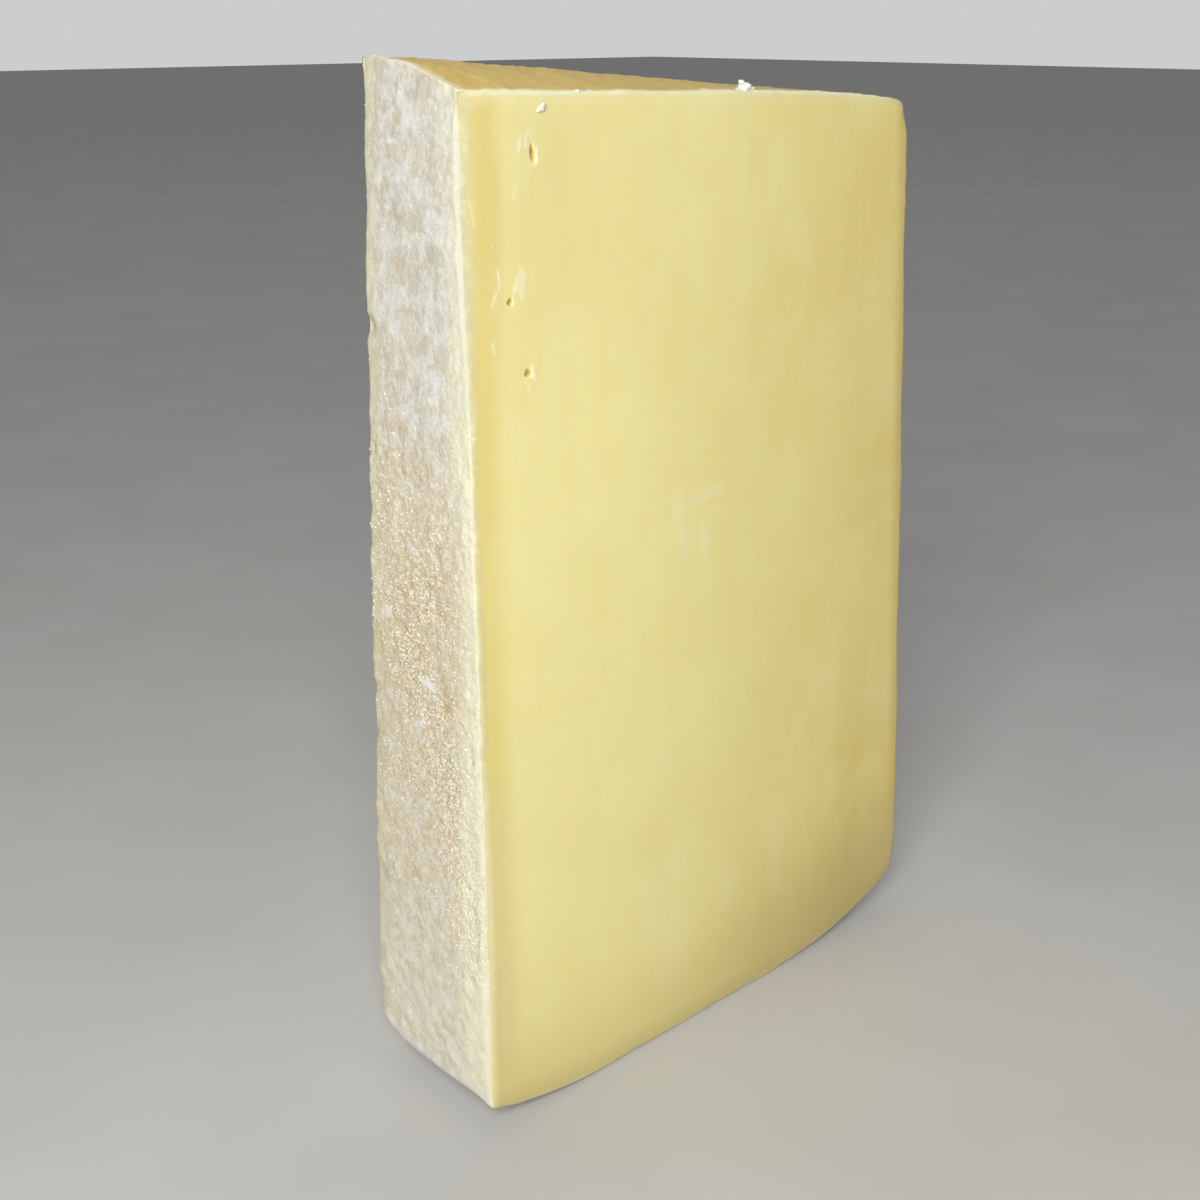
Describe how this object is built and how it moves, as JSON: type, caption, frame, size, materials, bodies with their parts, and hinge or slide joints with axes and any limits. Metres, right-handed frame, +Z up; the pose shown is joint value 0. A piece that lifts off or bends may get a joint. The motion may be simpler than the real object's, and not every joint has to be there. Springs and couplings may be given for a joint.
{
  "type": "alpine cheese wedge",
  "caption": "Upright wedge of firm alpine cheese with pale washed rind on three sides, smooth cut faces and a few small eyes.",
  "frame": {"origin": "centre of the block's box, in the plane of the flat spot that it rests on", "axes": "+Z up, from the heel to the top cut; +X from the left rind to the right rind; -Y out of the large front cut face"},
  "size_m": [0.099, 0.0292, 0.1538],
  "materials": {
    "paste": "waxy cut cheese, soft sheen, light passes a little way in",
    "rind": "dry, matte, dusty and finely grained",
    "crumb": "dry pale crumbs and grains"
  },
  "bodies": {
    "root": {"cheese_wedge": "paste"}
  },
  "joints": []
}
